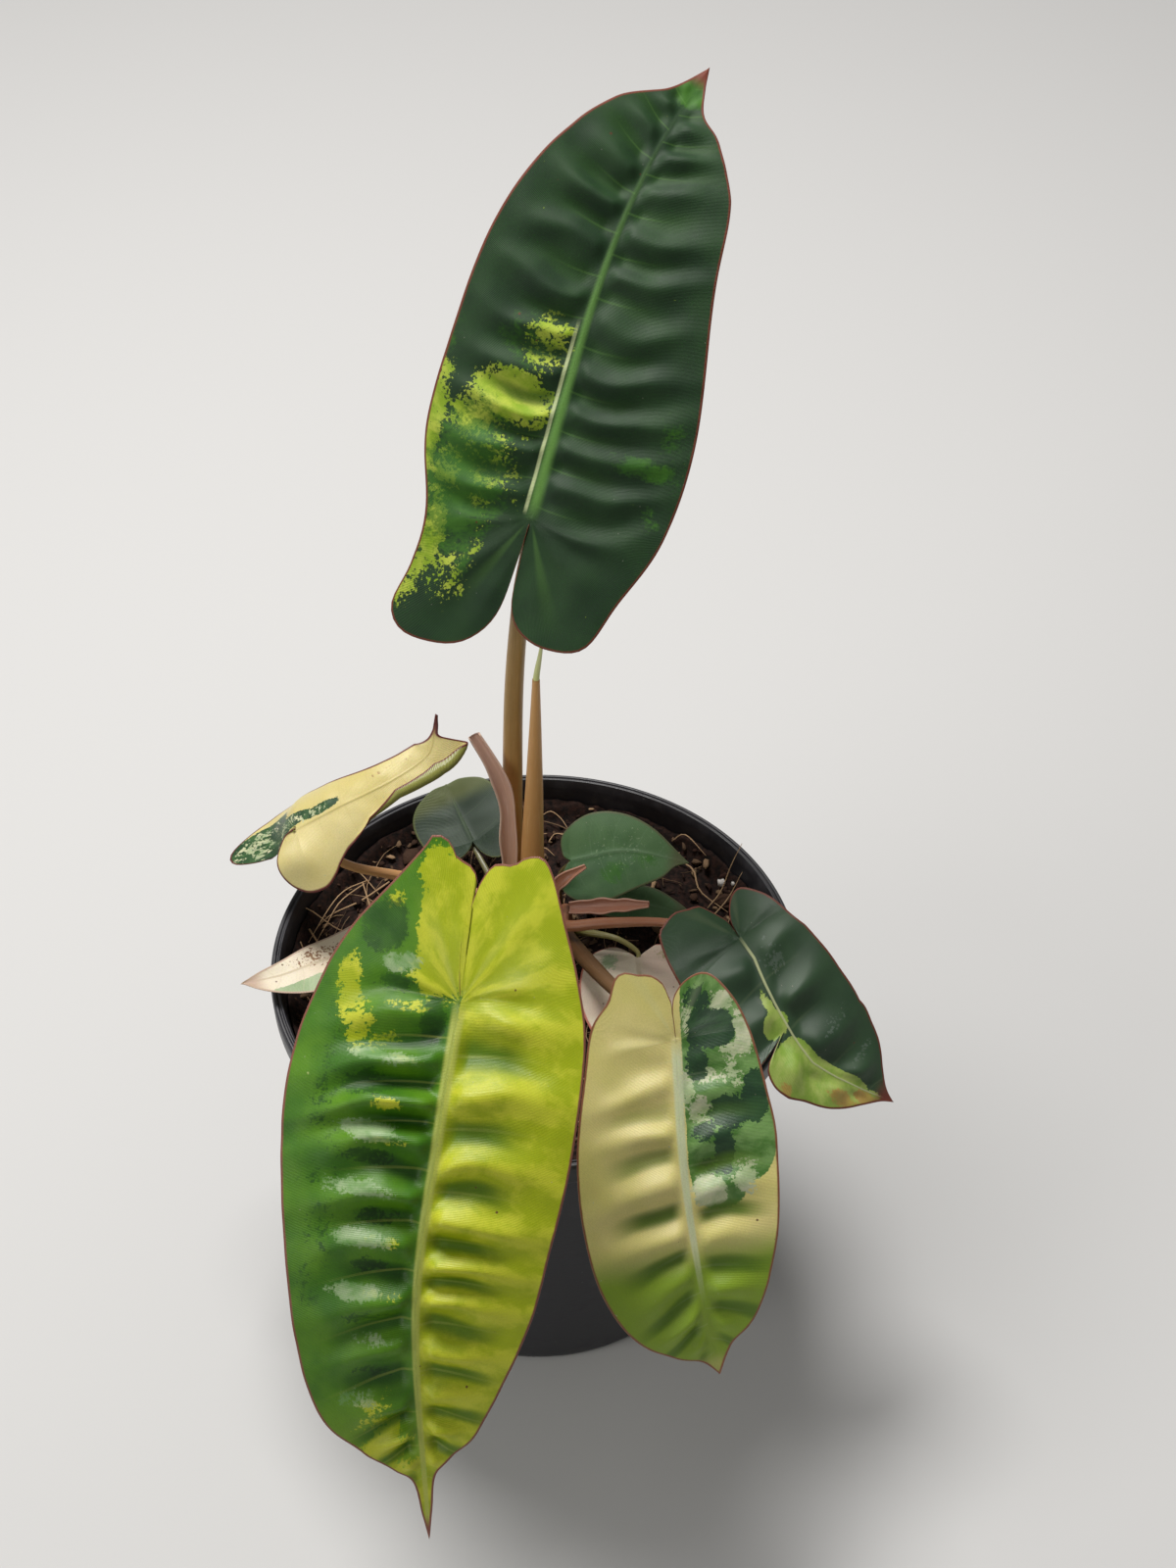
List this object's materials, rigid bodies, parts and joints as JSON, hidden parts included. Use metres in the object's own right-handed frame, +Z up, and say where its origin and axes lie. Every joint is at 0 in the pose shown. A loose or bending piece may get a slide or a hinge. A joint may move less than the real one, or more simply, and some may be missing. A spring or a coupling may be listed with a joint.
{
  "type": "potted variegated philodendron billietiae",
  "caption": "Young variegated philodendron with long quilted leaves in green, lime and cream, growing in a round black nursery pot of coir substrate.",
  "frame": {"origin": "centre of the flat underside of the pot", "axes": "+Z up; -Y towards the side where the large front leaf hangs; +X to the right seen from that side"},
  "size_m": [0.1888, 0.2839, 0.3296],
  "materials": {
    "black_plastic": "satin moulded plastic, dusty",
    "coir_substrate": "rough moist coir chips and peat",
    "stem_skin": "dull plant skin",
    "root_skin": "dull",
    "stalk_skin": "satin orange-brown plant skin with fine lengthwise lines",
    "sheath_skin": "satin striated plant skin",
    "dark_leaf": "satin quilted leaf, dark green with lime patches",
    "lime_leaf": "satin quilted leaf, green and lime halves",
    "cream_leaf": "satin quilted leaf, cream and marbled green",
    "old_leaf": "dull limp leaf, cream pink with brown specks",
    "young_leaf": "satin rolled leaf",
    "perlite": "rough",
    "bark": "rough",
    "coir_fibre": "dull thread"
  },
  "bodies": {
    "root": {"pot": "black_plastic", "substrate": "coir_substrate", "stem": "stem_skin", "root_1": "root_skin", "root_2": "root_skin", "root_3": "root_skin", "root_4": "root_skin", "root_5": "root_skin", "top_leaf_stalk": "stalk_skin", "front_leaf_stalk": "stalk_skin", "cream_leaf_stalk": "stalk_skin", "dark_leaf_stalk": "stalk_skin", "twisted_leaf_stalk": "stalk_skin", "heart_leaf_stalk": "stalk_skin", "round_leaf_stalk": "stalk_skin", "withered_leaf_stalk": "stalk_skin", "pale_leaf_stalk": "stalk_skin", "top_leaf_blade": "dark_leaf", "front_leaf_blade": "lime_leaf", "cream_leaf_blade": "cream_leaf", "dark_leaf_blade": "dark_leaf", "twisted_leaf_blade": "cream_leaf", "heart_leaf_blade": "dark_leaf", "round_leaf_blade": "dark_leaf", "withered_leaf_blade": "old_leaf", "pale_leaf_blade": "old_leaf", "old_sheath": "sheath_skin", "dark_leaf_sheath": "sheath_skin", "heart_leaf_sheath": "sheath_skin", "scale_leaf": "dark_leaf", "new_leaf_sheath": "sheath_skin", "new_leaf_point": "young_leaf", "bark_chip_1": "bark", "bark_chip_2": "bark", "bark_chip_3": "bark", "bark_chip_4": "bark", "bark_chip_5": "bark", "bark_chip_6": "bark", "perlite_crumb": "perlite", "coir_fibre_1": "coir_fibre", "coir_fibre_2": "coir_fibre", "coir_fibre_3": "coir_fibre", "coir_fibre_4": "coir_fibre"}
  },
  "joints": []
}
